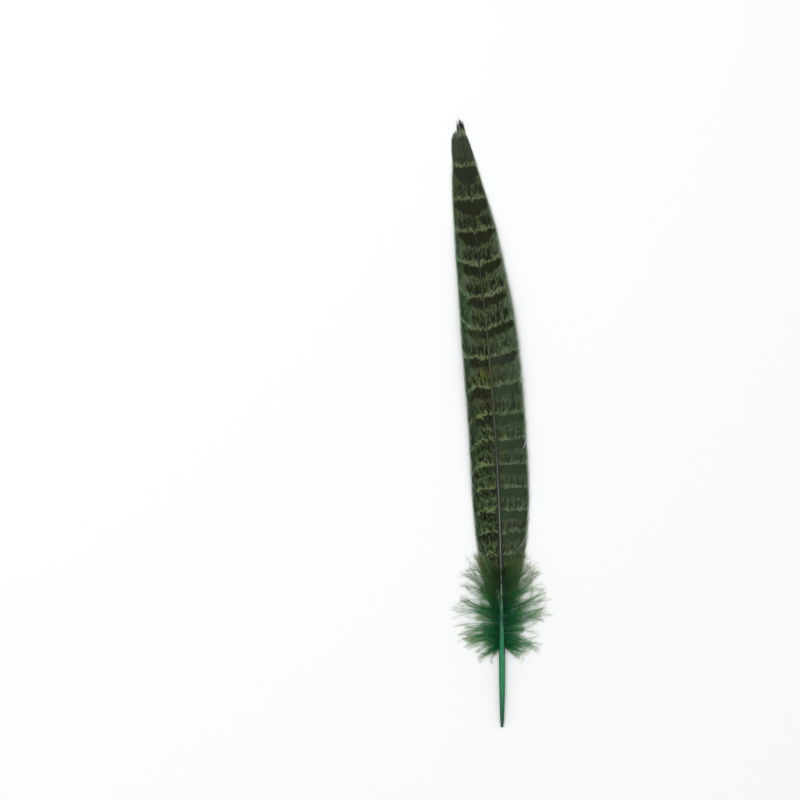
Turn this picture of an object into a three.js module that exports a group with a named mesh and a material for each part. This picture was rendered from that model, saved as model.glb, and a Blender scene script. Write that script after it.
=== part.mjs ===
// A pheasant tail feather lying on a surface with its upper side up: one tapering shaft, a vane of
// zipped barbs on each side of it, and a tuft of downy barbs on each side below the vanes.
// The quill's end points to -Y and the tip to +Y. A station is a distance along the chord, in
// millimetres from the quill's end.
import * as THREE from 'three';

// Driving dimensions, in millimetres and degrees
const LENGTH = 303; // quill's end to the vanes' tip
const SHAFT_LENGTH = 298; // the shaft ends a little short of the barbs around it
const BOW = 6.6; // sideways bow of the shaft from its chord
const ARCH = 4; // how far the middle of the vaned part stands off the surface
const VANE_START = 62; // lowest barb of the vanes
const GAP = 0.3; // clear space between the shaft and what grows from it
const DOWN_ROOTS = [41, 58]; // stretch of shaft that carries the down
const DOWN_ANGLES = [98, 42]; // lowest and highest downy barb, away from the tip's direction
const DOWN_REACH = [19, 23]; // their lengths
const DOWN_BULGE = 3; // extra length of the barbs between those two

// Thicknesses
const DEPTH_RATIO = 1.1; // the shaft is a little deeper than it is wide
const ATTACH_HEIGHT = 0.6; // where the vanes meet the shaft, as a share of its depth
const VANE_ROOT_THICK = 0.9;
const VANE_EDGE_THICK = 0.6;
const EDGE_LIFT = 0.45; // height of the vanes' edges, as a share of the arch below the shaft
const DOWN_RIM_THICK = 0.8;
const DOWN_ROOT_THICK = 2.2;
const DOWN_CROWN = 2.6; // how far the tuft swells above a straight line from root to rim

// Fineness of the facets
const SHAFT_SIDES = 12;
const SHAFT_RINGS = 90;
const VANE_CELLS = [5, 70];
const DOWN_CELLS = [7, 9];

// Outlines as [station, millimetres]
const shaftWidth = profile([
  [0, 1.2], [2, 1.7], [6, 2.1], [15, 2.7], [27, 3.1], [42, 3.0], [62, 2.6],
  [95, 2.2], [130, 1.85], [180, 1.3], [230, 0.85], [270, 0.5], [298, 0.3],
]);
const leftHalfWidth = profile([
  [62, 3], [70, 6], [80, 9.4], [92, 11.9], [110, 13.2], [150, 13.5], [195, 13.2],
  [220, 12.1], [245, 10.8], [265, 9.2], [284, 6.6], [297, 4.4], [303, 1.2],
]);
const rightHalfWidth = profile([
  [62, 3], [70, 6.4], [80, 10.4], [92, 13.4], [110, 15.2], [150, 15.7], [195, 15.4],
  [220, 13.9], [245, 11.4], [255, 10.2], [265, 8.3], [284, 5], [297, 2.3], [303, 1.2],
]);

// Gives the smooth curve through [station, value] points.
function profile(points) {
  const stations = points.map(([station]) => station);
  const values = points.map(([, value]) => value);
  const curve = new THREE.CubicInterpolant(stations, values, 1);
  return (station) => curve.evaluate(station)[0];
}

// The shaft's sideways place at a station.
function shaftX(station) {
  return BOW * Math.sin((Math.PI * station) / LENGTH);
}

function shaftDepth(station) {
  return DEPTH_RATIO * shaftWidth(station);
}

// The height of the shaft's underside: flat on the surface below the vanes, then a low arch.
function underside(station) {
  const along = THREE.MathUtils.clamp((station - VANE_START) / (LENGTH - VANE_START), 0, 1);
  return ARCH * Math.sin(Math.PI * along) ** 2;
}

// Moves each vertex of a closed blank to where place() puts it.
function reshape(blank, place) {
  const position = blank.attributes.position;
  const point = new THREE.Vector3();
  for (let i = 0; i < position.count; i += 1) {
    point.fromBufferAttribute(position, i);
    place(point);
    position.setXYZ(i, point.x, point.y, point.z);
  }
  blank.computeVertexNormals();
  return blank;
}

// A blank's share across, from the shaft outwards on either side (side is 1 on the right).
function shareOut(x, side) {
  return 0.5 + side * x;
}

function named(name, geometry, color, roughness) {
  const material = new THREE.MeshStandardMaterial({ color, roughness, metalness: 0 });
  const mesh = new THREE.Mesh(geometry, material);
  mesh.name = name;
  return mesh;
}

// The shaft is a round quill that narrows to a rachis, with a narrow flat along its underside.
function makeShaft() {
  const blank = new THREE.CylinderGeometry(1, 1, 1, SHAFT_SIDES, SHAFT_RINGS);
  blank.rotateY(Math.PI / SHAFT_SIDES); // turns one flat side of the section down
  const flatSide = Math.cos(Math.PI / SHAFT_SIDES);
  return reshape(blank, (point) => {
    const station = (point.y + 0.5) * SHAFT_LENGTH;
    const share = (1 + point.z / flatSide) / 2;
    point.x = shaftX(station) + (point.x * shaftWidth(station)) / 2;
    point.y = station;
    point.z = underside(station) + Math.max(0, share) * shaftDepth(station);
  });
}

// A vane is a thin web that leaves the shaft's upper flank and droops to its outer edge.
function makeVane(side, halfWidth) {
  const blank = new THREE.BoxGeometry(1, 1, 1, VANE_CELLS[0], VANE_CELLS[1], 1);
  return reshape(blank, (point) => {
    const out = shareOut(point.x, side);
    const station = THREE.MathUtils.lerp(VANE_START, LENGTH, point.y + 0.5);
    const thick = THREE.MathUtils.lerp(VANE_ROOT_THICK, VANE_EDGE_THICK, out);
    const inner = shaftWidth(station) / 2 + GAP;
    const attach = underside(station) + ATTACH_HEIGHT * shaftDepth(station);
    const rootZ = Math.max(attach, VANE_ROOT_THICK / 2);
    const edgeZ = EDGE_LIFT * underside(station) + VANE_EDGE_THICK / 2;
    const distance = THREE.MathUtils.lerp(inner, halfWidth(station), out);
    point.x = shaftX(station) + side * distance;
    point.y = station;
    point.z = THREE.MathUtils.lerp(rootZ, edgeZ, out ** 2) + point.z * thick;
  });
}

// A tuft of down fans out from the shaft, flat on the surface below and softly domed above.
function makeDown(side) {
  const blank = new THREE.BoxGeometry(1, 1, 1, DOWN_CELLS[0], DOWN_CELLS[1], 1);
  return reshape(blank, (point) => {
    const out = shareOut(point.x, side);
    const up = point.y + 0.5;
    const station = THREE.MathUtils.lerp(DOWN_ROOTS[0], DOWN_ROOTS[1], up);
    const angle = THREE.MathUtils.degToRad(THREE.MathUtils.lerp(DOWN_ANGLES[0], DOWN_ANGLES[1], up));
    const swell = Math.sin(Math.PI * up);
    const reach = THREE.MathUtils.lerp(DOWN_REACH[0], DOWN_REACH[1], up) + DOWN_BULGE * swell;
    const straight = THREE.MathUtils.lerp(DOWN_ROOT_THICK, DOWN_RIM_THICK, out);
    const thick = straight + DOWN_CROWN * Math.sin(Math.PI * out) * swell;
    point.x = shaftX(station) + side * (shaftWidth(station) / 2 + GAP + out * reach * Math.sin(angle));
    point.y = station + out * reach * Math.cos(angle);
    point.z = (point.z + 0.5) * thick;
  });
}

const feather = new THREE.Group();
feather.add(
  named('shaft', makeShaft(), 0x3c6a50, 0.35),
  named('left_vane', makeVane(-1, leftHalfWidth), 0x37412c, 0.7),
  named('right_vane', makeVane(1, rightHalfWidth), 0x37412c, 0.7),
  named('left_down', makeDown(-1), 0x2a6b40, 0.85),
  named('right_down', makeDown(1), 0x2a6b40, 0.85),
);

// The origin is under the middle of the whole feather, on the surface that it lies on.
const middle = new THREE.Box3().setFromObject(feather).getCenter(new THREE.Vector3());
feather.position.set(-middle.x, -middle.y, 0);

const part = new THREE.Group();
part.add(feather);

export default part;
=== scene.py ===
import math
from types import SimpleNamespace

import bmesh
import bpy
import numpy as np
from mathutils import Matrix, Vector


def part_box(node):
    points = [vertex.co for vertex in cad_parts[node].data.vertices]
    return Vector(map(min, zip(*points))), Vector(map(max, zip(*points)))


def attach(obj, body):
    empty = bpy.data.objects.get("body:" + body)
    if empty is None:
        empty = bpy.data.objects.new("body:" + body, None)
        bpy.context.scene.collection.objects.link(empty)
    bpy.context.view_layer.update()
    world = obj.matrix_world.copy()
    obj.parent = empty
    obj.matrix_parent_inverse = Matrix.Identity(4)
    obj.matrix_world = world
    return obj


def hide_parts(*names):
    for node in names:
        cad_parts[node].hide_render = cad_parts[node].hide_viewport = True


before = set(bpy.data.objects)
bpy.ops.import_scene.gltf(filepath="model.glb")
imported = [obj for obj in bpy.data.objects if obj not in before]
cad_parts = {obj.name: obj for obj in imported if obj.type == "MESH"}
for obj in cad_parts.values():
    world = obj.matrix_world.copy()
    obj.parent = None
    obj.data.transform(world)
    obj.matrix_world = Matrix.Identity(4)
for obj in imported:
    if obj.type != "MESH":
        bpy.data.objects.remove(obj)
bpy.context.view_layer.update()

# Shaft
# One stem of horn-like keratin: a round hollow quill that narrows to a pith-filled rachis with a
# groove along its underside. The quill takes the dye as a clear glossy green, and among the vanes
# the stem is slate grey. A paler line runs along its back, partly its own colour and partly a
# painted highlight, and its darker flanks are partly painted shade.
MM = 0.001
BOW = 6.6  # sideways bow from the chord
ARCH = 4.0  # lift of the middle of the vaned part
VANE_START = 62.0  # a station, which is a distance along the chord from the quill's end
DEPTH_RATIO = 1.1  # the shaft's depth over its width
CAD_SIDES = 12  # of the shaft's section in the frame
SHAFT_SIDES = 28
SHAFT_RINGS = 180
SHAFT_CREASE = math.radians(50)  # sharper edges are shaded as edges
GROOVE_STATIONS = (50.0, 70.0)  # the rachis's groove deepens between these
GROOVE_DEPTH = 0.22  # share of the rachis's depth
GROOVE_WIDTH = 0.38  # share of its half width
END_ROUNDING = (0.25, 0.08)  # at the quill's end and at the tip
QUILL_WALL = 0.16  # around the small pit in the quill's end
QUILL_PIT = 1.2
SHAFT_WIDTHS = [
    (0, 1.2), (2, 1.7), (6, 2.1), (15, 2.7), (27, 3.1), (42, 3.0), (62, 2.6),
    (95, 2.2), (130, 1.85), (180, 1.3), (230, 0.85), (270, 0.5), (298, 0.3),
]
shaft_low, shaft_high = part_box("shaft")
SHAFT_LENGTH = (shaft_high.y - shaft_low.y) / MM
LENGTH = (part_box("right_vane")[1].y - shaft_low.y) / MM


def smooth_line(points):
    """A smooth curve through (station, value) points, as a function of the station."""
    at, value = np.array(points, float).T
    slope = np.gradient(value, at)

    def line(station):
        held = np.clip(station, at[0], at[-1])
        i = np.clip(np.searchsorted(at, held) - 1, 0, len(at) - 2)
        span = at[i + 1] - at[i]
        t = (held - at[i]) / span
        rise = (3 - 2 * t) * t * t
        bend = t * (1 - t) * span * (slope[i] * (1 - t) - slope[i + 1] * t)
        return value[i] * (1 - rise) + value[i + 1] * rise + bend

    return line


shaft_width = smooth_line(SHAFT_WIDTHS)


def shaft_x(station):
    return BOW * np.sin(np.pi * station / LENGTH)


def underside(station):
    along = np.clip((station - VANE_START) / (LENGTH - VANE_START), 0, 1)
    return ARCH * np.sin(np.pi * along) ** 2


every_mm = np.arange(0, SHAFT_LENGTH)
facet_reach = math.cos(math.pi / CAD_SIDES) / 2
widest_reach = (shaft_x(every_mm) + facet_reach * shaft_width(every_mm)).max()
CHORD_X = shaft_high.x / MM - widest_reach
QUILL_Y = shaft_low.y / MM


def in_frame(across, station, height):
    """Puts millimetres across, along and above the feather's chord into the part's frame."""
    x, y, z = np.broadcast_arrays(across + CHORD_X, station + QUILL_Y, height)
    return np.stack([x, y, z], -1) * MM


def rod(sides, pieces):
    """A closed rod of radius 1 along +Y from 0 to 1, cut into so many lengths."""
    bm = bmesh.new()
    bmesh.ops.create_cone(bm, cap_ends=True, segments=sides, radius1=1, radius2=1, depth=1)
    lengthwise = [e for e in bm.edges if abs(e.verts[0].co.z - e.verts[1].co.z) > 0.5]
    bmesh.ops.subdivide_edges(bm, edges=lengthwise, cuts=pieces - 1)
    for v in bm.verts:
        v.co = (v.co.x, v.co.z + 0.5, -v.co.y)
    bm.normal_update()
    return bm


def finished(name, bm, material):
    """Turns a bmesh into a smooth-shaded object of the scene."""
    mesh = bpy.data.meshes.new(name)
    bm.to_mesh(mesh)
    bm.free()
    mesh.shade_smooth()
    mesh.set_sharp_from_angle(angle=SHAFT_CREASE)
    mesh.materials.append(material)
    made = bpy.data.objects.new(name, mesh)
    bpy.context.scene.collection.objects.link(made)
    return made


def coordinates(mesh):
    found = np.empty(len(mesh.vertices) * 3, np.float32)
    mesh.vertices.foreach_get("co", found)
    return found.reshape(-1, 3).astype(float)


def note(mesh, name, values, domain="POINT"):
    """Writes a named number, or three, at each vertex or face for the material to read."""
    kind = "FLOAT_VECTOR" if np.ndim(values) == 2 else "FLOAT"
    layer = mesh.attributes.new(name, kind, domain)
    layer.data.foreach_set("vector" if kind == "FLOAT_VECTOR" else "value", np.ravel(values))


def add(tree, kind, *inputs, **settings):
    """Adds a shader node, with its settings, and its inputs in order as values or links."""
    made = tree.nodes.new("ShaderNode" + kind)
    for name, value in settings.items():
        setattr(made, name, value)
    for socket, value in zip(made.inputs, inputs):
        if isinstance(value, bpy.types.NodeSocket):
            tree.links.new(value, socket)
        elif value is not None:
            socket.default_value = value
    return made


def maths(tree, operation, *inputs):
    return add(tree, "Math", *inputs, operation=operation).outputs[0]


def product(tree, first, *others):
    for other in others:
        first = maths(tree, "MULTIPLY", first, other)
    return first


def read(tree, name, part="Fac"):
    """What note() wrote under a name: its number, or the Vector part for three."""
    return add(tree, "Attribute", attribute_name=name).outputs[part]


def apart(tree, vector):
    return add(tree, "SeparateXYZ", vector).outputs[0:3]


def together(tree, *parts):
    return add(tree, "CombineXYZ", *parts).outputs[0]


def fade(tree, value, low, high):
    """0 at low, 1 at high, and a soft step between. Low may be the greater of the two."""
    made = add(tree, "MapRange", value, interpolation_type="SMOOTHSTEP")
    made.inputs["From Min"].default_value = low
    made.inputs["From Max"].default_value = high
    return made.outputs[0]


def grain(tree, vector, scale, detail, roughness=0.5):
    """Soft noise from 0 to 1."""
    made = add(tree, "TexNoise", vector)
    made.inputs["Scale"].default_value = scale
    made.inputs["Detail"].default_value = detail
    made.inputs["Roughness"].default_value = roughness
    return made.outputs[0]


def linear(colour):
    """Reads an sRGB colour such as 5f6b45 as the linear one that a shader takes."""
    parts = [int(colour[i : i + 2], 16) / 255 for i in (0, 2, 4)]
    return [c / 12.92 if c < 0.04045 else ((c + 0.055) / 1.055) ** 2.4 for c in parts] + [1]


def mixed(tree, share, one, other):
    """One colour at a share of 0 and the other at 1."""
    made = tree.nodes.new("ShaderNodeMix")
    made.data_type = "RGBA"
    for index, value in ((0, share), (6, one), (7, other)):
        if isinstance(value, bpy.types.NodeSocket):
            tree.links.new(value, made.inputs[index])
        else:
            made.inputs[index].default_value = linear(value)
    return made.outputs[2]


def shaded(tree, colour, factor):
    """The colour, darker or lighter by a factor that changes over the surface."""
    grey = together(tree, factor, factor, factor)
    return add(tree, "VectorMath", colour, grey, operation="MULTIPLY").outputs[0]


def stops(tree, value, *points):
    """A ramp through (place, colour) or (place, number) points."""
    made = add(tree, "ValToRGB", value)
    ramp = made.color_ramp
    while len(ramp.elements) < len(points):
        ramp.elements.new(0.5)
    for element, (place, colour) in zip(ramp.elements, points):
        element.position = place
        element.color = linear(colour) if isinstance(colour, str) else [colour] * 3 + [1]
    return made.outputs[0]


def new_material(name, roughness, specular):
    """A material with its principled shader's even values set, and its tree and shader."""
    made = bpy.data.materials.new(name)
    made.use_nodes = True
    shader = made.node_tree.nodes["Principled BSDF"]
    shader.inputs["Roughness"].default_value = roughness
    shader.inputs["Specular IOR Level"].default_value = specular
    return made, made.node_tree, shader


def relief(tree, shader, height, depth):
    """Feeds a pattern to the shader's normal as a bump that is so many metres deep."""
    made = add(tree, "Bump")
    made.inputs["Distance"].default_value = depth
    tree.links.new(height, made.inputs["Height"])
    tree.links.new(made.outputs[0], shader.inputs["Normal"])


def dye_cloud():
    """Group: how much dye a spot took, uneven from place to place, from 0 to 1."""
    group = bpy.data.node_groups.new("dye_cloud", "ShaderNodeTree")
    group.interface.new_socket("Place", in_out="INPUT", socket_type="NodeSocketVector")
    group.interface.new_socket("Scale", in_out="INPUT", socket_type="NodeSocketFloat")
    group.interface.new_socket("Uptake", in_out="OUTPUT", socket_type="NodeSocketFloat")
    inside = group.nodes.new("NodeGroupInput")
    outside = group.nodes.new("NodeGroupOutput")
    noise = add(group, "TexNoise", inside.outputs["Place"], None, inside.outputs["Scale"], 3.0)
    group.links.new(fade(group, noise.outputs[0], 0.3, 0.7), outside.inputs["Uptake"])
    return group


DYE_CLOUD = dye_cloud()


def dye(tree, place, scale):
    made = tree.nodes.new("ShaderNodeGroup")
    made.node_tree = DYE_CLOUD
    tree.links.new(place, made.inputs["Place"])
    made.inputs["Scale"].default_value = scale
    return made.outputs["Uptake"]


def shaft_material():
    """Green horn that turns slate grey and then olive, with scuffs, a paler back that is partly
    painted highlight and darker flanks that are partly painted shade.
    """
    made, tree, shader = new_material("dyed_keratin", 0.3, 0.25)
    station, aside, above = apart(tree, read(tree, "stem", "Vector"))

    def drawn_out(pace):
        """The place on the shaft with its length cut to a share, so that noise runs lengthwise."""
        return together(tree, aside, product(tree, station, pace), above)

    along = maths(tree, "DIVIDE", station, SHAFT_LENGTH)
    # The back's paler colour is partly the stem's own and partly a painted highlight
    back = stops(
        tree, along,
        (0.0, "185438"), (0.03, "1b6541"), (0.08, "1e7e4d"), (0.14, "237f52"), (0.19, "3b7258"),
        (0.24, "7f8a7a"), (0.41, "858e79"), (0.46, "596a44"), (0.5, "4c5d35"), (0.55, "3a482b"),
        (0.62, "4b5536"), (0.72, "3a422b"), (0.85, "23261a"), (1.0, "1b1f14"),
    )
    # The flanks' darker colour is partly the stem's own and partly painted shade
    flank = stops(
        tree, along,
        (0.0, "0b3020"), (0.08, "0e5a34"), (0.14, "145437"), (0.2, "1d3a33"), (0.26, "24292a"),
        (0.46, "262a26"), (0.54, "2f3420"), (0.64, "2b301d"), (0.74, "1e2213"), (1.0, "181b11"),
    )
    streak = grain(tree, drawn_out(0.03), 3.0, 4)
    back_width = stops(tree, along, (0.15, 0.62), (0.25, 0.14), (0.5, 0.12), (0.6, 0.4), (1.0, 0.4))
    off_centre = maths(tree, "MULTIPLY_ADD", streak, 0.25, maths(tree, "ABSOLUTE", aside))
    off_back = fade(tree, maths(tree, "SUBTRACT", off_centre, back_width), 0.0, 0.24)
    colour = mixed(tree, off_back, back, flank)
    uptake = maths(tree, "MULTIPLY_ADD", dye(tree, drawn_out(0.08), 1.6), 0.5, 0.45)
    fibres = grain(tree, drawn_out(0.02), 9.0, 3)
    colour = shaded(tree, colour, maths(tree, "MULTIPLY_ADD", fibres, 0.6, uptake))
    scuffs = fade(tree, grain(tree, drawn_out(0.7), 3.2, 5), 0.58, 0.68)
    on_quill = fade(tree, along, 0.2, 0.16)
    colour = mixed(tree, product(tree, scuffs, on_quill, 0.28), colour, "5c9476")
    tree.links.new(colour, shader.inputs["Base Color"])
    matt = maths(tree, "MULTIPLY_ADD", fade(tree, station, 120.0, 200.0), 0.4, 0.18)
    tree.links.new(maths(tree, "MULTIPLY_ADD", streak, 0.2, matt), shader.inputs["Roughness"])
    relief(tree, shader, streak, 0.00008)
    return made


bm = rod(SHAFT_SIDES, SHAFT_RINGS)
for v in bm.verts:
    station = v.co.y * SHAFT_LENGTH
    width = float(shaft_width(station))
    grooved = np.interp(station, GROOVE_STATIONS, (0, 1))
    share = (1 + v.co.z) / 2
    if v.co.z < 0:
        share += grooved * GROOVE_DEPTH * math.exp(-((v.co.x / GROOVE_WIDTH) ** 2)) * -v.co.z
    height = underside(station) + share * DEPTH_RATIO * width
    v.co = in_frame(shaft_x(station) + v.co.x * width / 2, station, height)
ends = [f for f in bm.faces if len(f.verts) == SHAFT_SIDES]
for end, offset in zip(sorted(ends, key=lambda f: f.calc_center_median().y), END_ROUNDING):
    bmesh.ops.bevel(
        bm, geom=end.edges, offset=offset * MM, segments=3, profile=0.5, affect="EDGES", material=-1
    )
pit = min(bm.faces, key=lambda f: f.calc_center_median().y)
bmesh.ops.inset_region(bm, faces=[pit], thickness=QUILL_WALL * MM)
bmesh.ops.translate(bm, verts=pit.verts, vec=(0, QUILL_PIT * MM, 0))
shaft = finished("feather_shaft", bm, shaft_material())
place = coordinates(shaft.data) / MM - [CHORD_X, QUILL_Y, 0]
half = shaft_width(place[:, 1]) / 2
note(shaft.data, "stem", np.stack([
    place[:, 1],
    (place[:, 0] - shaft_x(place[:, 1])) / half,
    (place[:, 2] - underside(place[:, 1])) / (DEPTH_RATIO * half) - 1,
], -1))
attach(shaft, "root")
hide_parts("shaft")

# Vanes
# Several hundred barbs a side leave the shaft's upper flanks at a slant and bend towards the tip.
# Each is a flattened blade that lies over the next one's edge, zipped to it by its barbules, and
# the web parts here and there into narrow splits. The dark bars cross barb after barb.
BARB_SPACING = 0.36
BARB_LENGTHS = 14  # faces along a barb
BARB_CREASE = math.radians(60)
BARB_COVER = 1.9  # a barb's width over its neighbour's distance
BARB_DEPTH = 0.07
BARB_ROLL = math.radians(14)
BARB_TAPER = ([0, 0.8, 1], [1, 0.9, 0.25])  # share of its width, from root to end
BARB_THINNING = ([0, 1], [1.2, 0.6])
BARB_BEND = 1.7  # how soon it bends towards the tip
BARB_ROOT = 0.42  # where barbs leave the shaft, as a share of its width
BARB_ROOTS = (56.0, 297.6)
BARB_REACHES = np.arange(1.0, 70.0, 0.1)  # lengths that are tried until one meets the outline
BARB_UNEVEN = 0.007  # how unevenly long the barbs are
LEAST_SLANT = 0.3  # the sine of a barb's angle counts as this at least
ATTACH_HEIGHT = 0.62  # share of the shaft's depth
EDGE_LIFT = 0.45  # share of the arch
EDGE_HEIGHT = 0.25
REST_HEIGHT = 0.12  # lowest that the middle of a barb lies
RIPPLES = ((0.14, 5.9), (0.08, 2.3))  # heights and lengths of two soft waves at the web's edge
STRAYS = 0.04  # share of the barbs that reach past the outline
STRAY_REACH = (0.5, 2.4)
SPLIT_SHADE_REACH = 1.2  # how far from a split its barbs get painted shade
FULL_SPLIT = 0.3  # a split this wide gets painted shade of the full darkness beside it
LOOSE_STATIONS = (56.0, 92.0)  # the barbs are unzipped at the first and zipped from the second on
UNEVEN_FROM = 284.0  # the uneven barbs around the tip start here
UNEVEN_LENGTHS = (0.86, 1)
FRAYED_STATIONS = (288.0, 294.0)
STREAK = 0.38  # how much the markings are drawn out along the barbs
MARK_SLANT = math.sin(math.radians(30))  # scales the markings across the barbs
MARK_JITTER = 0.12  # how unevenly they cross from barb to barb
MAP_EDGE = 0.01  # clear rim of the bake map
MAP_GAP = 0.1  # clear share on each side of a barb's strip in it
BAR_TOPS = (
    315, 298, 281, 264, 247.5, 230.5, 214, 198.5, 184, 169.5, 155.5, 143, 131, 119.5, 108, 97, 86,
    75.5, 65, 55,
)  # stations of the dark bars' upper edges at the shaft
BAR_THICKNESS = smooth_line([
    (55, 0.4), (150, 0.4), (170, 0.37), (227, 0.34), (244, 0.42), (260, 0.52), (277, 0.56),
    (303, 0.5),
])  # share of a bar's pitch
BAR_BOWL = smooth_line([
    (55, 0.03), (170, 0.06), (190, 0.12), (227, 0.17), (244, 0.38), (277, 0.5), (303, 0.5),
])  # how much thinner a bar is at the outline
BAR_NOTCH = 0.08  # how far the upper bars dip at the shaft, as a share of a bar's pitch
NOTCH_STATIONS = (185.0, 225.0)
NOTCH_WIDTH = 0.6
SWEEP_FROM = 6.0  # distance from the shaft at which the bars begin to curl up

# Stations between which one look of the vanes gives way to the next
UPPER_LOOK = (185.0, 215.0)
GREEN_LOOK = (158.0, 144.0)
WARM_LOOK = (262.0, 245.0)
PALE_EDGE_LOOK = (145.0, 185.0, 235.0, 262.0)  # grows over the first two and ends over the others
CALM_LOOK = (238.0, 262.0)
HOLES_LOOK = (100.0, 130.0)
SLATE_LOOK = (252.0, 240.0)
TOP_BARS_LOOK = (250.0, 276.0)
PLAIN_TIP = (283.8, 286.0)
TAN_TIP = (295.4, 297.6)
DARK_TIP = (298.9, 300.7)
PATCH_PLACE = (175.0, 4.7)  # station and distance from the shaft
PATCH_FADE = (5.2, 2.2)

# How the vanes differ: the side and the random draws, how strongly each marking shows, where and
# how much the bars waver, colours, the outline (half) and the width of the margin, how far the bars
# curl up (sweep) and climb (rise) outwards, the barbs' angles from the tip's direction, and the
# splits, each as its station and how wide it stands open.
LEFT = dict(
    side=-1, seed=11, rust=0.85, contrast=1.0, green=1.0, patch=0.65, broken=0.5, curls=0.6,
    blots=0.85, slate_width=4.6, unrest=(168.0, 140.0, 0.3),
    ground="353f27", fleck="0c1104", bars=("0e1206", "0e1206"), slate="1d201d",
    edge_dark="263c21", edge_light="496642", edge_dull=(0.55, 0.1), ragged=9.0,
    half=smooth_line([
        (55, 4.5), (62, 6.2), (70, 8.2), (80, 10.2), (92, 12), (110, 13.2), (150, 13.5),
        (195, 13.2), (220, 12.1), (245, 10.8), (255, 9.9), (265, 9.2), (274, 8.2), (284, 6.6),
        (292, 6), (297, 4.6), (299.5, 2.6), (302, 2.1), (303.6, 1.2), (304.4, -0.5),
    ]),
    margin=smooth_line([
        (55, 3), (90, 3.8), (120, 2.8), (150, 4.2), (172, 3.2), (195, 3.6), (212, 4.6), (222, 3.1),
        (229, 2.4), (236, 2.6), (250, 1.5), (262, 0.7), (303, 0.5),
    ]),
    sweep=smooth_line([(60, 0), (185, 0), (200, 0.1), (235, 0.1), (258, 0), (303, 0)]),
    rise=smooth_line([
        (60, 0), (185, 0.06), (214, 0.14), (235, 0.16), (258, 0.02), (303, 0),
    ]),
    root_angle=smooth_line([
        (60, 56), (90, 44), (150, 36), (220, 32), (270, 25), (289, 14), (298, 0),
    ]),
    edge_angle=smooth_line([
        (60, 34), (90, 24), (150, 15), (220, 14), (270, 9), (289, 2), (298, -2),
    ]),
    splits=[(55, 0), (101, 0.3), (137, 0.4), (203, 0.08), (262, 0.08), (300, 0)],
)
RIGHT = dict(
    side=1, seed=23, rust=0.2, contrast=0.6, green=0.0, patch=0.0, broken=0.0, curls=0.0,
    blots=0.4, slate_width=1.5, unrest=(112.0, 90.0, 0.4),
    ground="3f4b35", fleck="181e10", bars=("2c3b26", "283123"), slate="2a302b",
    edge_dark="3a4c32", edge_light="70855f", edge_dull=(0.0, 0.0), ragged=5.0,
    half=smooth_line([
        (55, 4.5), (62, 6.6), (70, 8.9), (80, 11.3), (92, 13.5), (110, 15.2), (150, 15.7),
        (195, 15.4), (208, 14.9), (220, 13.9), (232, 12.7), (245, 11.4), (255, 10.2), (265, 8.3),
        (274, 6.7), (284, 5), (292, 3.4), (297, 2.3), (299.5, 2.0), (302, 1.9), (303.4, 1.2),
        (304.2, -0.5),
    ]),
    margin=smooth_line([
        (55, 1.2), (150, 1.3), (190, 1.8), (235, 1.7), (250, 0.8), (262, 0.4), (303, 0.3),
    ]),
    sweep=smooth_line([(60, 0), (303, 0)]),
    rise=smooth_line([
        (60, 0), (150, 0.02), (166, 0.1), (187, 0.26), (215, 0.33), (240, 0.28), (257, 0.06),
        (303, 0),
    ]),
    root_angle=smooth_line([
        (60, 62), (90, 52), (150, 46), (220, 40), (270, 28), (289, 14), (298, 0),
    ]),
    edge_angle=smooth_line([
        (60, 38), (90, 30), (150, 25), (220, 20), (270, 12), (289, 2), (298, -2),
    ]),
    splits=[(55, 0), (88, 0.3), (121, 0.6), (176, 0.08), (240, 0.1), (300, 0)],
)


def template_of(bm):
    """A bmesh's places and faces as arrays, and the bmesh is freed."""
    places = np.array([v.co for v in bm.verts])
    faces = np.array([[v.index for v in f.verts] for f in bm.faces])
    bm.free()
    return places, faces


def many(name, copies, faces, material):
    """Joins many bent copies of a template, given as an array of places, in one object."""
    count, corners = copies.shape[:2]
    every_face = np.arange(count)[:, None, None] * corners + faces
    mesh = bpy.data.meshes.new(name)
    mesh.from_pydata(copies.reshape(-1, 3), [], every_face.reshape(-1, faces.shape[1]))
    mesh.shade_smooth()
    mesh.set_sharp_from_angle(angle=BARB_CREASE)
    mesh.materials.append(material)
    made = bpy.data.objects.new(name, mesh)
    bpy.context.scene.collection.objects.link(made)
    return made


def unit(vectors):
    return vectors / np.maximum(np.linalg.norm(vectors, axis=-1, keepdims=True), 1e-9)


def swept(places, path, half_width, half_depth, roll):
    """Bends copies of a template rod along paths, each ring lying flat but for its roll."""
    ring = np.rint(places[:, 1] * (path.shape[1] - 1)).astype(int)
    ahead = unit(np.gradient(path, axis=1))
    across = unit(np.cross(ahead, [0, 0, 1]))
    above = np.cross(across, ahead)
    wide = half_width[..., None] * (across * np.cos(roll) + above * np.sin(roll))
    deep = half_depth[..., None] * (above * np.cos(roll) - across * np.sin(roll))
    return path[:, ring] + wide[:, ring] * places[:, :1] + deep[:, ring] * places[:, 2:], ring


def drift(rng, count, size, reach):
    """Random values that change smoothly along a row, one knot to each reach places."""
    knots = rng.normal(0, size, count // reach + 2)
    return np.interp(np.arange(count) / reach, np.arange(len(knots)), knots)


def turns(x, y):
    """How far around a template each corner of its faces lies, from 0 to 1."""
    return np.arctan2(y, x) / (2 * np.pi) % 1


def rod_turns(places, faces):
    """The turns of a template rod's corners, past 1 where a face reaches over the seam."""
    turn = turns(places[faces][..., 0], places[faces][..., 2])
    wraps = np.ptp(turn, axis=1, keepdims=True) > 0.5
    return np.where(wraps & (turn < 0.5), turn + 1, turn)


def strips(row, turn, count):
    """Gives each barb of a row of so many its own strip across the bake map."""
    return (row + MAP_GAP + (1 - 2 * MAP_GAP) * turn) / count


def bake_map(mesh, along, around):
    """Gives the mesh its own map from a place along and around at each corner of its faces."""
    layer = mesh.uv_layers.new(name="OFBake")
    layer.data.foreach_set("uv", np.stack([along, around], -1).ravel().astype(np.float32))


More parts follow.
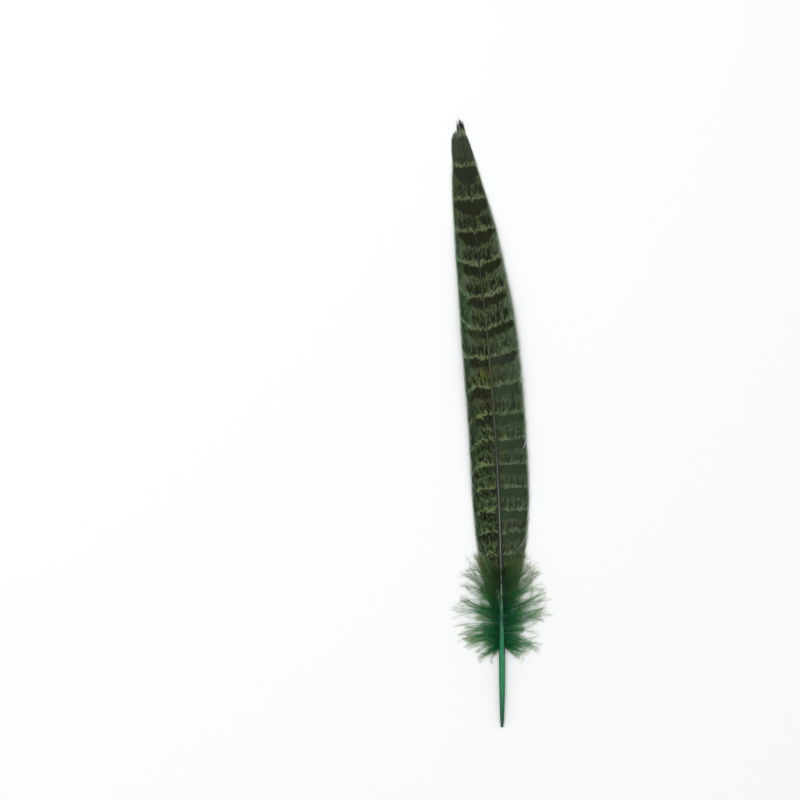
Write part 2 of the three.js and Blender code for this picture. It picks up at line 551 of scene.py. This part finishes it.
def barring():
    """Group: how a spot is marked. Streaks is its place along and across the barbs."""
    group = bpy.data.node_groups.new("barring", "ShaderNodeTree")
    for name, kind in (("Streaks", "Vector"), ("Place", "Vector"), ("Bars", "Float"),
                       ("Thickness", "Float"), ("Softness", "Float"), ("Unrest", "Float")):
        group.interface.new_socket(name, in_out="INPUT", socket_type="NodeSocket" + kind)
    for name in ("Bar", "Flecks", "Pale", "Fine", "Broad", "Blotches", "Curls"):
        group.interface.new_socket(name, in_out="OUTPUT", socket_type="NodeSocketFloat")
    given = group.nodes.new("NodeGroupInput").outputs
    result = group.nodes.new("NodeGroupOutput").inputs

    def noise(place, stretch, scale, detail):
        moved = add(group, "VectorMath", given[place], stretch, operation="MULTIPLY").outputs[0]
        return maths(group, "SUBTRACT", grain(group, moved, scale, detail, 0.6), 0.5)

    broad = noise("Place", (1, 0.7, 1), 0.17, 2.0)
    wave = noise("Place", (1, 0.8, 2.7), 0.42, 1.0)
    jag = noise("Streaks", (1, 1, 1), 1.3, 3.0)
    spikes = noise("Streaks", (1.5, 0.5, 1.7), 1.2, 2.0)
    blotches = noise("Streaks", (0.6, 1.9, 2.3), 0.75, 4.0)
    breaks = noise("Streaks", (0.9, 1.1, 5.3), 1.0, 2.0)
    fine = noise("Streaks", (2.6, 0.9, 3.1), 1.5, 2.0)
    curls = maths(group, "ABSOLUTE", noise("Streaks", (1.2, 1.3, 3.9), 0.65, 2.0))

    # The phase runs from 0 at a bar's upper edge to 1 at the next one's
    swing = maths(group, "MULTIPLY_ADD", given["Unrest"], 0.9, 0.28)
    waved = maths(group, "MULTIPLY_ADD", wave, swing, given["Bars"])
    phase = maths(group, "FRACT", maths(group, "MULTIPLY_ADD", jag, 0.14, waved))
    lower = maths(group, "MULTIPLY_ADD", jag, 0.22, phase)
    below = maths(group, "SUBTRACT", lower, given["Thickness"])
    below = maths(group, "DIVIDE", below, given["Softness"])
    bar = product(group, fade(group, below, 1.0, -1.0), fade(group, phase, 0.0, 0.03))
    pale = product(
        group,
        fade(group, maths(group, "MULTIPLY_ADD", spikes, 0.5, phase), 0.85, 0.92),
        fade(group, phase, 1.0, 0.975),
        fade(group, breaks, -0.16, -0.02),
    )
    off_pale = fade(group, pale, 0.6, 0.2)
    band = product(group, fade(group, lower, 0.5, 0.62), off_pale)
    flecks = product(group, band, fade(group, blotches, -0.075, 0.025))
    loose = product(group, fade(group, blotches, 0.08, 0.13), off_pale)
    for name, value in (("Bar", bar), ("Flecks", maths(group, "MAXIMUM", flecks, loose)),
                        ("Pale", pale), ("Fine", fine), ("Broad", broad), ("Blotches", blotches),
                        ("Curls", fade(group, curls, 0.035, 0.0))):
        group.links.new(value, result[name])
    return group


BARRING = barring()


def spot_of(tree, look):
    """What a vane's material goes by at a spot: its place, its markings and their two colours."""
    across, station, inside = apart(tree, read(tree, "lie", "Vector"))
    order, run, tone = apart(tree, read(tree, "barb", "Vector"))
    bars, thickness, margin = apart(tree, read(tree, "mark", "Vector"))
    seed = float(look["seed"])
    upper = fade(tree, station, *UPPER_LOOK)
    lower = maths(tree, "SUBTRACT", 1.0, upper)
    pattern = tree.nodes.new("ShaderNodeGroup")
    pattern.node_tree = BARRING
    for name, value in (
        ("Streaks", together(tree, order, product(tree, run, STREAK), seed)),
        ("Place", together(tree, across, station, seed)),
        ("Bars", bars),
        ("Thickness", thickness),
        ("Softness", maths(tree, "MULTIPLY_ADD", upper, -0.05, 0.09)),
        ("Unrest", product(tree, fade(tree, station, *look["unrest"][:2]), look["unrest"][2])),
    ):
        tree.links.new(value, pattern.inputs[name])
    light = mixed(tree, upper, "5b6a4e", "676f50")
    return SimpleNamespace(
        across=across, station=station, inside=inside, tone=tone, margin=margin, seed=seed,
        upper=upper, lower=lower, greener=fade(tree, station, *GREEN_LOOK),
        light=mixed(tree, product(tree, lower, look["green"]), light, "66744c"),
        fleck=mixed(tree, upper, look["fleck"], "12180a"),
        **{socket.name.lower(): socket for socket in pattern.outputs},
    )


def ground_colour(tree, look, spot):
    """Olive, warmer by the shaft, clouded by the dye, streaked along the barbs, rusty in places."""
    ground = mixed(tree, spot.upper, look["ground"], "38432a")
    ground = mixed(tree, product(tree, spot.greener, look["green"]), ground, "35502d")
    by_shaft = fade(tree, spot.across, 7.0, 1.0)
    warm = product(tree, by_shaft, fade(tree, spot.station, *WARM_LOOK), 0.4)
    ground = mixed(tree, warm, ground, "4a4325")
    place = together(tree, spot.across, product(tree, spot.station, 0.25), spot.seed)
    ground = mixed(tree, product(tree, dye(tree, place, 0.12), 0.35), ground, "34502d")
    ground = mixed(tree, fade(tree, spot.fine, 0.02, 0.18), ground, spot.light)
    ground = mixed(tree, fade(tree, spot.fine, -0.02, -0.18), ground, spot.fleck)
    rusty = maths(tree, "MULTIPLY_ADD", spot.fine, 0.6, spot.blotches)
    rusty = fade(tree, maths(tree, "MULTIPLY_ADD", spot.broad, 0.6, rusty), 0.0, 0.1)
    off_green = maths(tree, "SUBTRACT", 1.0, spot.greener)
    rusty = product(tree, rusty, look["rust"], spot.lower, off_green)
    ground = mixed(tree, rusty, ground, "3c2f19")
    begins, grown, fades, ends = PALE_EDGE_LOOK
    pale_edge = product(
        tree, fade(tree, spot.margin, 4.5, 0.5), fade(tree, spot.station, begins, grown),
        fade(tree, spot.station, ends, fades), 0.6,
    )
    return mixed(tree, pale_edge, ground, "52614a")


def bar_colour(tree, look, spot):
    """Almost black, slate beside the shaft, which is partly a painted sheen, and paler in the topmost
    bars.
    """
    dark = mixed(tree, fade(tree, spot.station, 170.0, 182.0), *look["bars"])
    dark = mixed(tree, fade(tree, spot.station, 184.0, 196.0), dark, "1e230f")
    # The slate beside the shaft is partly the bars' own tint and partly a painted sheen
    by_shaft = fade(tree, spot.across, look["slate_width"], look["slate_width"] * 0.3)
    share = product(tree, by_shaft, 0.7, fade(tree, spot.station, *SLATE_LOOK))
    dark = mixed(tree, share, dark, mixed(tree, spot.upper, look["slate"], "1b1e1b"))
    return mixed(tree, fade(tree, spot.station, *TOP_BARS_LOOK), dark, "272e1e")


def with_markings(tree, look, spot, colour):
    """Adds the flecks between the bars, the pale line above each bar, the bars and the curls."""
    contrast = maths(tree, "MULTIPLY_ADD", spot.upper, 1 - look["contrast"], look["contrast"])
    calm = maths(tree, "MULTIPLY_ADD", fade(tree, spot.station, *CALM_LOOK), -0.2, 1.0)
    off_edge = fade(tree, spot.margin, -0.5, 2.0)
    colour = mixed(tree, product(tree, spot.flecks, contrast, calm, off_edge), colour, spot.fleck)
    colour = mixed(tree, product(tree, spot.pale, 0.85), colour, spot.light)
    holes = fade(tree, spot.blotches, 0.0, 0.07)
    holed = fade(tree, spot.station, *HOLES_LOOK)
    holes = product(tree, holes, look["broken"], spot.lower, holed)
    bar = product(tree, spot.bar, maths(tree, "SUBTRACT", 1.0, holes))
    colour = mixed(tree, bar, colour, bar_colour(tree, look, spot))
    curly = maths(tree, "MULTIPLY_ADD", spot.greener, 0.6, 0.4)
    curls = product(tree, spot.curls, spot.lower, curly, look["curls"])
    return mixed(tree, curls, colour, spot.light)


def with_patch(tree, look, spot, colour):
    """Adds a yellow-green patch a little way from the shaft."""
    up = maths(tree, "ABSOLUTE", maths(tree, "SUBTRACT", spot.station, PATCH_PLACE[0]))
    out = maths(tree, "ABSOLUTE", maths(tree, "SUBTRACT", spot.across, PATCH_PLACE[1]))
    away = maths(tree, "MULTIPLY_ADD", out, 0.8, up)
    away = maths(tree, "MULTIPLY_ADD", spot.fine, 9.0, away)
    patch = product(
        tree, fade(tree, away, *PATCH_FADE), look["patch"], fade(tree, spot.blotches, 0.08, -0.04)
    )
    yellow = mixed(tree, fade(tree, spot.fine, -0.1, 0.1), "465020", "687234")
    return mixed(tree, patch, colour, yellow)


def with_margin(tree, look, spot, colour):
    """Adds the greener margin, which is ragged inwards and has blots and pale lines of its own."""
    streaks = fade(tree, spot.fine, -0.12, 0.12)
    edge = mixed(tree, streaks, look["edge_dark"], look["edge_light"])
    dull = maths(tree, "MULTIPLY_ADD", spot.lower, *look["edge_dull"])
    edge = mixed(tree, dull, edge, "37402c")
    blots = maths(tree, "MAXIMUM", fade(tree, spot.blotches, -0.01, 0.04), spot.flecks)
    edge = mixed(tree, product(tree, blots, look["blots"]), edge, "162811")
    edge = mixed(tree, product(tree, spot.pale, 0.5), edge, "7b9672")
    ragged = maths(tree, "MULTIPLY_ADD", spot.broad, look["ragged"], spot.margin)
    ragged = maths(tree, "MULTIPLY_ADD", spot.fine, 4.0, ragged)
    return mixed(tree, fade(tree, ragged, -0.8, 0.8), edge, colour)


def with_tip(tree, spot, colour):
    """Adds the tip, which has no bars: grey olive, then a tan band, then a dark end."""
    def streaked(unevenness, stations):
        uneven = maths(tree, "MULTIPLY_ADD", spot.fine, unevenness, spot.station)
        return fade(tree, uneven, *stations)

    tip = mixed(tree, fade(tree, spot.fine, -0.1, 0.25), "323a2b", "4b5340")
    tan = mixed(tree, fade(tree, spot.fine, 0.0, 0.12), "606852", "878c72")
    tip = mixed(tree, streaked(9.0, TAN_TIP), tip, tan)
    tip = mixed(tree, streaked(7.0, DARK_TIP), tip, "1e1f18")
    return mixed(tree, streaked(6.0, PLAIN_TIP), colour, tip)


def vane_material(name, look):
    """Dark bars and mottling over olive, with painted shade beside the splits, a pale rim that is
    partly painted highlight, and a paler underside.
    """
    made, tree, shader = new_material(name, 0.6, 0.08)
    spot = spot_of(tree, look)
    colour = with_markings(tree, look, spot, ground_colour(tree, look, spot))
    if look["patch"]:
        colour = with_patch(tree, look, spot, colour)
    colour = with_margin(tree, look, spot, colour)
    # Painted shade: barbs beside a split are darkened in place of the shadow in the gap
    colour = mixed(tree, product(tree, read(tree, "painted_split_shade"), 0.85), colour, "0e130b")
    # A pale rim along the outline: partly the web's own paler edge and partly a painted highlight
    colour = mixed(tree, fade(tree, spot.inside, 0.9, 0.3), colour, "6d8763")
    colour = with_tip(tree, spot, colour)
    colour = shaded(tree, colour, maths(tree, "MULTIPLY_ADD", spot.tone, 0.36, 0.82))
    colour = mixed(tree, product(tree, read(tree, "under"), 0.4), colour, "525a48")
    tree.links.new(colour, shader.inputs["Base Color"])
    relief(tree, shader, spot.fine, 0.00006)
    return made


def barb_lines(look, rng):
    """Each barb's line in the plane of an unparted vane, and its angle and length."""
    roots = np.arange(*BARB_ROOTS, BARB_SPACING)
    count = len(roots)
    t = np.linspace(0, 1, BARB_LENGTHS + 1)
    middle = (t[1:] + t[:-1]) / 2
    start = look["root_angle"](roots) + drift(rng, count, 0.8, 17) + rng.normal(0, 0.06, count)
    turn = look["edge_angle"](roots) - start + drift(rng, count, 0.6, 13)
    angle = np.radians(start[:, None] + turn[:, None] * (1 - (1 - middle) ** BARB_BEND))
    steps = np.stack([np.sin(angle), np.cos(angle)], -1) / BARB_LENGTHS
    shape = np.concatenate([np.zeros((count, 1, 2)), np.cumsum(steps, 1)], 1)
    foot = BARB_ROOT * shaft_width(roots)
    reach = foot[:, None] + BARB_REACHES * shape[:, -1:, 0]
    beyond = reach >= look["half"](roots[:, None] + BARB_REACHES * shape[:, -1:, 1])
    length = BARB_REACHES[np.argmax(beyond, 1)]
    length = length * (1 - np.abs(rng.normal(0, BARB_UNEVEN, count)))
    length = length * np.where(roots > UNEVEN_FROM, rng.uniform(*UNEVEN_LENGTHS, count), 1)
    across = foot[:, None] + length[:, None] * shape[..., 0]
    station = roots[:, None] + length[:, None] * shape[..., 1]
    stray = np.where(rng.random(count) < STRAYS, rng.uniform(*STRAY_REACH, count), 0)
    across[:, -1] += stray * np.sin(angle[:, -1])
    station[:, -1] += stray * np.cos(angle[:, -1])
    return roots, t, angle, length, across, station


def parted(look, roots, t):
    """How far each barb leans away from the split beside it, and how much painted shade it gets for
    lying near the split.
    """
    splits = np.array(look["splits"])
    group = np.clip(np.searchsorted(splits[:, 0], roots) - 1, 0, len(splits) - 2)
    low, high = splits[group], splits[group + 1]
    along = 2 * (roots - low[:, 0]) / (high[:, 0] - low[:, 0]) - 1
    width = np.where(along > 0, high[:, 1], low[:, 1])
    pull = width * np.abs(along) ** 5 * np.sign(along)
    from_split = (1 - np.abs(along)) * (high[:, 0] - low[:, 0]) / 2
    # Painted shade for barbs near a split that stands open, growing towards their outer ends
    shade_by_split = np.clip(SPLIT_SHADE_REACH - from_split, 0, 1) * np.clip(width / FULL_SPLIT, 0, 1)
    return -pull[:, None] * t**1.5, shade_by_split[:, None] * np.clip(4 * t - 2, 0, 1)


def laid(look, roots, t, across, station, rng):
    """The barbs' paths in space, drooping to the edge, loose low down and frayed at the tip."""
    count = len(roots)
    loose = np.interp(roots, LOOSE_STATIONS, (1, 0))[:, None]
    wander = rng.normal(0, 1, (count, 3))
    wave = np.sin(t * (5 + 3 * rng.random((count, 1))) + 6 * rng.random((count, 1)))
    station = station + loose * t * (0.8 * wander[:, :1] + 0.5 * wave)
    frayed = np.interp(roots, FRAYED_STATIONS, (0, 1))[:, None] * t**3
    station = station + frayed * 0.7 * wander[:, 1:2]
    across = across + frayed * (0.5 * wander[:, 2:] + 0.5 * wave)
    out = across / np.maximum(look["half"](station), 1)
    root_height = underside(station) + ATTACH_HEIGHT * DEPTH_RATIO * shaft_width(station)
    edge_height = EDGE_LIFT * underside(station) + EDGE_HEIGHT
    lift = root_height + (edge_height - root_height) * np.clip(out, 0, 1.1) ** 2
    for (height, length), shift in zip(RIPPLES, (look["seed"], 0)):
        lift = lift + height * np.sin(station / length + shift) * out**2
    lift = lift + (loose * t + frayed) * 0.5 * np.abs(wander[:, 1:2])
    x = shaft_x(station) + look["side"] * across
    return in_frame(x, station, np.maximum(lift, REST_HEIGHT)) / MM, across, frayed


def markings(look, across, lie):
    """How many bars from the top a spot lies, its bar's thickness, and how far in from the margin."""
    climb = look["rise"](lie) * across + look["sweep"](lie) * np.maximum(across - SWEEP_FROM, 0) ** 2
    bars = np.interp(climb - lie, np.negative(BAR_TOPS), np.arange(len(BAR_TOPS)))
    notch = BAR_NOTCH * np.interp(lie, NOTCH_STATIONS, (0, 1))
    notch = notch * np.exp(-((across / NOTCH_WIDTH) ** 2))
    share_out = np.clip(across / np.maximum(look["half"](lie), 1), 0, 1)
    thickness = BAR_THICKNESS(lie) - BAR_BOWL(lie) * share_out**2.2
    margin = look["half"](lie) - across - look["margin"](lie)
    return np.stack([bars - notch, thickness, margin], -1)


def vane(name, node, look):
    """Grows one vane's barbs from their roots to its outline, and notes where each spot lies."""
    rng = np.random.default_rng(look["seed"])
    roots, t, angle, length, across, lie = barb_lines(look, rng)
    count = len(roots)
    lean, shade_by_split = parted(look, roots, t)
    path, across, frayed = laid(look, roots, t, across, lie + lean, rng)
    slant = np.sin(angle[:, np.minimum(np.arange(BARB_LENGTHS + 1), BARB_LENGTHS - 1)])
    taper = np.interp(t, *BARB_TAPER) * (1 - 0.3 * frayed)
    half_width = 0.5 * BARB_COVER * BARB_SPACING * np.maximum(slant, LEAST_SLANT) * taper
    half_depth = BARB_DEPTH * np.interp(t, *BARB_THINNING) * np.ones((count, 1))
    places, faces = template_of(rod(4, BARB_LENGTHS))
    copies, ring = swept(places, path, half_width, half_depth, look["side"] * BARB_ROLL)
    made = many(name, copies * MM, faces, vane_material(name, look))

    tone = rng.random((count, 1)) + 0 * ring
    jitter = rng.normal(0, MARK_JITTER, (count, 1))
    aside = look["side"] * places[:, 0] * half_width[:, ring]
    slope = angle[:, np.minimum(ring, BARB_LENGTHS - 1)]
    lie = lie[:, ring] - aside * np.sin(slope) + jitter
    across = across[:, ring] + aside * np.cos(slope)
    order = (roots[:, None] - aside / np.maximum(np.sin(slope), LEAST_SLANT)) * MARK_SLANT
    run = length[:, None] * t[ring] + jitter
    for label, values in (
        ("lie", np.stack([across, lie, look["half"](lie) - across], -1)),
        ("barb", np.stack([order, run, tone], -1)),
        ("mark", markings(look, across, lie)),
    ):
        note(made.data, label, values.reshape(-1, 3))
    # The painted shade beside the splits, for the material to read
    note(made.data, "painted_split_shade", shade_by_split[:, ring].ravel())
    note(made.data, "under", np.tile(places[faces][:, :, 2].mean(1) < -0.1, count), "FACE")
    strip = strips(np.arange(count)[:, None, None], rod_turns(places, faces), count)
    along = np.broadcast_to(places[faces][..., 1], strip.shape)
    bake_map(made.data, MAP_EDGE + (1 - 2 * MAP_EDGE) * along, strip)
    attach(made, "root")
    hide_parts(node)


vane("barbs_left", "left_vane", LEFT)
vane("barbs_right", "right_vane", RIGHT)

# Down
# Below the vanes the barbs don't zip. Each is a thin limp plume set all round with hair-fine
# barbules, and they fan out over the surface in a soft tuft that hides the shaft's flanks.
DOWN_COUNT = 190
DOWN_LENGTHS = 12  # faces along a plume
DOWN_ROOTS = (40.0, 78.0)
DOWN_ROOT = 0.35  # where plumes leave the shaft, as a share of its width
DOWN_ROOT_HEIGHT = 1.7
PLUME_ANGLES = ([0, 0.15, 0.5, 0.8, 1], [108, 98, 74, 50, 38])  # from the lowest to the highest
PLUME_TURNS = ([0, 0.25, 1], [12, -8, -16])
PLUME_REACHES = ([0, 0.12, 0.45, 0.8, 1], [11, 19, 25, 22, 14])
PLUME_RADII = ([0, 0.25, 1], [0.1, 0.055, 0.02])  # from the root to the tip
SHORT_SHARE = 0.45  # of the plumes that have half the others' length
OVER_SHARE = 0.05  # of the plumes that lie over the shaft
OVER_TURN = (50, 95)  # degrees that these are turned across it
OVER_CLEARANCE = 0.25
PLUME_RISE = (0.1, 3.0)  # how far plumes swell up from the surface
BARBULES = 200  # on one plume, all round
BARBULE_RADIUS = 0.017
BARBULE_REACH = (1.0, 3.8)
BARBULE_SPREAD = (0.15, 1.2)  # radians from the plume's direction
BARBULE_FADE = 0.08  # how far a barbule is towards the plume's tip in colour, from foot to tip
BARBULE_REST = 0.05  # lowest that a barbule's tip lies
NEEDLE_MAP = 0.45  # width of the bake map that a plume's length takes for its barbules


def down_material():
    """Dyed green at the root and pale at the tips, and olive in the plumes next to the vanes."""
    made, tree, shader = new_material("green_down_fibres", 0.8, 0.06)
    along, level, tone = apart(tree, read(tree, "fluff", "Vector"))
    stem = stops(tree, along, (0.0, "0c3a20"), (0.45, "1c5432"), (0.75, "3d5740"), (1.0, "5f5c4e"))
    fluff = stops(tree, along, (0.0, "0f4526"), (0.3, "1f6a3c"), (0.65, "5a9460"), (1.0, "a9bb90"))
    olive = stops(tree, along, (0.0, "1c2c15"), (0.5, "46592f"), (1.0, "8c9468"))
    by_vanes = fade(tree, maths(tree, "MULTIPLY_ADD", tone, 0.5, level), 0.6, 1.25)
    colour = mixed(tree, by_vanes, mixed(tree, read(tree, "hair"), stem, fluff), olive)
    bright = maths(tree, "FRACT", product(tree, tone, 7.0))
    colour = shaded(tree, colour, maths(tree, "MULTIPLY_ADD", bright, 0.36, 0.84))
    tree.links.new(colour, shader.inputs["Base Color"])
    return made


GREEN_DOWN = down_material()


def plume_paths(side, rng):
    """Limp curling lines that leave the shaft one above another, and their levels from 0 to 1."""
    level = (np.arange(DOWN_COUNT) + rng.random(DOWN_COUNT)) / DOWN_COUNT
    roots = DOWN_ROOTS[0] + (DOWN_ROOTS[1] - DOWN_ROOTS[0]) * level
    t = np.linspace(0, 1, DOWN_LENGTHS + 1)
    start = np.interp(level, *PLUME_ANGLES)
    start = start + drift(rng, DOWN_COUNT, 6, 9) + rng.normal(0, 8, DOWN_COUNT)
    turn = np.interp(level, *PLUME_TURNS) + rng.normal(0, 16, DOWN_COUNT)
    sway = rng.normal(0, 11, (DOWN_COUNT, 1)) * np.sin(6 * t + 6 * rng.random((DOWN_COUNT, 1)))
    curl = rng.normal(0, 34, (DOWN_COUNT, 1)) * t**4
    angle = np.radians(start[:, None] + turn[:, None] * t + sway + curl)
    over = ((rng.random(DOWN_COUNT) < OVER_SHARE) & (level > 0.2))[:, None]
    across_shaft = np.radians(rng.uniform(*OVER_TURN, (DOWN_COUNT, 1)))
    angle = np.where(over, 0.6 * angle - across_shaft, angle)
    length = np.interp(level, *PLUME_REACHES)
    length = length * np.where(rng.random(DOWN_COUNT) < SHORT_SHARE, 0.5, 0.95)
    length = length * rng.uniform(0.8, 1.1, DOWN_COUNT)
    steps = np.stack([np.sin(angle), np.cos(angle)], -1)[:, 1:]
    steps = steps * length[:, None, None] / DOWN_LENGTHS
    shape = np.concatenate([np.zeros((DOWN_COUNT, 1, 2)), np.cumsum(steps, 1)], 1)
    width = shaft_width(roots)[:, None]
    across = DOWN_ROOT * width + shape[..., 0]
    rise = rng.uniform(*PLUME_RISE, (DOWN_COUNT, 1)) * np.minimum(length[:, None] / 16, 1)
    lift = DOWN_ROOT_HEIGHT * (1 - t) ** 1.3 + rise * np.sin(np.pi * t**0.7) * (1 - 0.3 * t)
    on_shaft = np.exp(-1.2 * (across / width) ** 2)
    top = DEPTH_RATIO * width + OVER_CLEARANCE
    lift = np.where(over, lift + (top - lift) * on_shaft, lift)
    x = shaft_x(roots)[:, None] + side * across
    station = roots[:, None] + shape[..., 1]
    return level[:, None], t, in_frame(x, station, np.maximum(lift, REST_HEIGHT)) / MM


def barbules(path, rng):
    """Where needles stand all along the plumes, most of them slanting ahead in two flat rows."""
    count, rings = path.shape[:2]
    at = 1 - (1 - rng.random((count, BARBULES))) ** 0.85 * 0.97
    spot = at * (rings - 1)
    i = np.minimum(spot.astype(int), rings - 2)
    rows = np.arange(count)[:, None]
    foot = path[rows, i] + (path[rows, i + 1] - path[rows, i]) * (spot - i)[..., None]
    ahead = unit(path[rows, i + 1] - path[rows, i])
    flat = unit(np.cross(ahead, [0, 0, 1]))
    hand = np.where(rng.random(at.shape) < 0.5, 1.0, -1.0)[..., None]
    roll = rng.normal(0, 0.8, at.shape)[..., None]
    aside = hand * np.cos(roll) * flat + np.sin(roll) * np.cross(flat, ahead)
    spread = rng.uniform(*BARBULE_SPREAD, at.shape)[..., None]
    heading = unit(ahead * np.cos(spread) + aside * np.sin(spread))
    reach = rng.uniform(*BARBULE_REACH, at.shape) * np.interp(at, [0, 0.7, 1], [1, 1, 0.6])
    tip = foot + heading * reach[..., None]
    tip[..., 2] = np.maximum(tip[..., 2], BARBULE_REST)
    return at, foot, tip


def plume_stems(name, level, t, path, tone):
    """The plumes' thin middles, on the left half of the bake map."""
    thick = np.interp(t, *PLUME_RADII) * np.ones((DOWN_COUNT, 1))
    places, faces = template_of(rod(4, DOWN_LENGTHS))
    copies, ring = swept(places, path, thick, thick, 0.0)
    made = many(name, copies * MM, faces, GREEN_DOWN)
    fluff = np.stack(np.broadcast_arrays(t, level, tone), -1)[:, ring]
    note(made.data, "fluff", fluff.reshape(-1, 3))
    note(made.data, "hair", np.zeros(len(made.data.vertices)))
    strip = strips(np.arange(DOWN_COUNT)[:, None, None], rod_turns(places, faces), DOWN_COUNT)
    along = np.broadcast_to(places[faces][..., 1], strip.shape)
    bake_map(made.data, MAP_EDGE + (0.5 - 2 * MAP_EDGE) * along, strip)
    return made


def plume_needles(name, level, path, tone, rng):
    """The plumes' barbules, each a three-sided needle, on the right half of the bake map."""
    at, foot, tip = barbules(path, rng)
    bm = bmesh.new()
    bmesh.ops.create_cone(bm, cap_ends=True, segments=3, radius1=1, radius2=0, depth=1)
    needle, faces = template_of(bm)
    foot, tip = foot.reshape(-1, 1, 3), tip.reshape(-1, 1, 3)
    wide = BARBULE_RADIUS * unit(np.cross(tip - foot, [0, 0, 1]))
    deep = np.cross(wide, unit(tip - foot))
    up = needle[:, 2:] + 0.5
    copies = foot + (tip - foot) * up + wide * needle[:, :1] - deep * needle[:, 1:2]
    made = many(name, copies * MM, faces, GREEN_DOWN)
    fluff = np.stack(np.broadcast_arrays(at, level, tone), -1).reshape(-1, 1, 3)
    note(made.data, "fluff", (fluff + up * [BARBULE_FADE, 0, 0]).reshape(-1, 3))
    note(made.data, "hair", np.ones(len(made.data.vertices)))
    turn = np.tile(turns(needle[faces][..., 0], needle[faces][..., 1]), (BARBULES, 1))
    strip = strips(np.arange(DOWN_COUNT)[:, None, None], turn, DOWN_COUNT)
    along = at[..., None, None] + BARBULE_FADE * up[faces][..., 0]
    bake_map(made.data, 0.5 + MAP_EDGE + NEEDLE_MAP * along.reshape(DOWN_COUNT, -1, 3), strip)
    return made


def tuft(name, node, side, seed):
    """Grows one side's plumes and joins their barbules to them."""
    rng = np.random.default_rng(seed)
    level, t, path = plume_paths(side, rng)
    tone = rng.random((DOWN_COUNT, 1))
    made = plume_stems(name, level, t, path, tone)
    needles = plume_needles(name + "_fine", level, path, tone, rng)
    with bpy.context.temp_override(active_object=made, selected_editable_objects=[made, needles]):
        bpy.ops.object.join()
    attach(made, "root")
    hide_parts(node)


tuft("down_left", "left_down", -1, 5)
tuft("down_right", "right_down", 1, 8)

# Table, light and camera
# The feather lies on a plain matt white surface. An even white sky and one large soft lamp light
# it, and the camera looks straight down.
TABLE_SIZE = 6.0
TABLE_CLEARANCE = 0.02
TABLE_WHITE = (0.93, 0.935, 0.93, 1)
SKY_WHITE = (0.98, 0.99, 1.0, 1)
SKY_STRENGTH = 0.85
LAMP_SIZE = 0.9
LAMP_POWER = 6
LAMP_PLACE = (-0.55, 0.5, 1.3)
PICTURE = 800
MM_PER_PIXEL = 0.5  # of the photograph
TIP_PIXEL = np.array([460.0, 121.0])
QUILL_PIXEL = np.array([502.0, 727.0])
LENS, SENSOR = 85.0, 36.0
FAR_LIMIT = 100

white, tree, shader = new_material("white_surface", 0.9, 0.2)
shader.inputs["Base Color"].default_value = TABLE_WHITE
bm = bmesh.new()
bmesh.ops.create_grid(bm, x_segments=1, y_segments=1, size=TABLE_SIZE / 2)
bmesh.ops.translate(bm, verts=bm.verts, vec=(0, 0, -TABLE_CLEARANCE * MM))
finished("surface", bm, white)

world = bpy.data.worlds.new("daylight")
world.use_nodes = True
world.node_tree.nodes["Background"].inputs["Color"].default_value = SKY_WHITE
world.node_tree.nodes["Background"].inputs["Strength"].default_value = SKY_STRENGTH
bpy.context.scene.world = world
lamp = bpy.data.lights.new("window", "AREA")
lamp.size = LAMP_SIZE
lamp.energy = LAMP_POWER
lamp_object = bpy.data.objects.new("window", lamp)
lamp_object.location = LAMP_PLACE
lamp_object.rotation_euler = (-lamp_object.location).to_track_quat("-Z", "Y").to_euler()
bpy.context.scene.collection.objects.link(lamp_object)

# The chord runs from the quill's pixel to the tip's, and the camera is turned and placed to match
up = (TIP_PIXEL - QUILL_PIXEL) / np.linalg.norm(TIP_PIXEL - QUILL_PIXEL)
rightwards = np.array([-up[1], up[0]])
centre = (np.array([PICTURE, PICTURE]) / 2 - QUILL_PIXEL) * MM_PER_PIXEL
camera = bpy.data.cameras.new("camera")
camera.lens, camera.sensor_width = LENS, SENSOR
camera.clip_end = FAR_LIMIT
camera_object = bpy.data.objects.new("camera", camera)
camera_object.location = (
    (centre @ rightwards + CHORD_X) * MM,
    (centre @ up + QUILL_Y) * MM,
    PICTURE * MM_PER_PIXEL * MM * LENS / SENSOR,
)
camera_object.rotation_euler = (0, 0, math.atan2(up[0], -up[1]))
bpy.context.scene.collection.objects.link(camera_object)
bpy.context.scene.camera = camera_object
bpy.context.scene.view_settings.view_transform = "Standard"
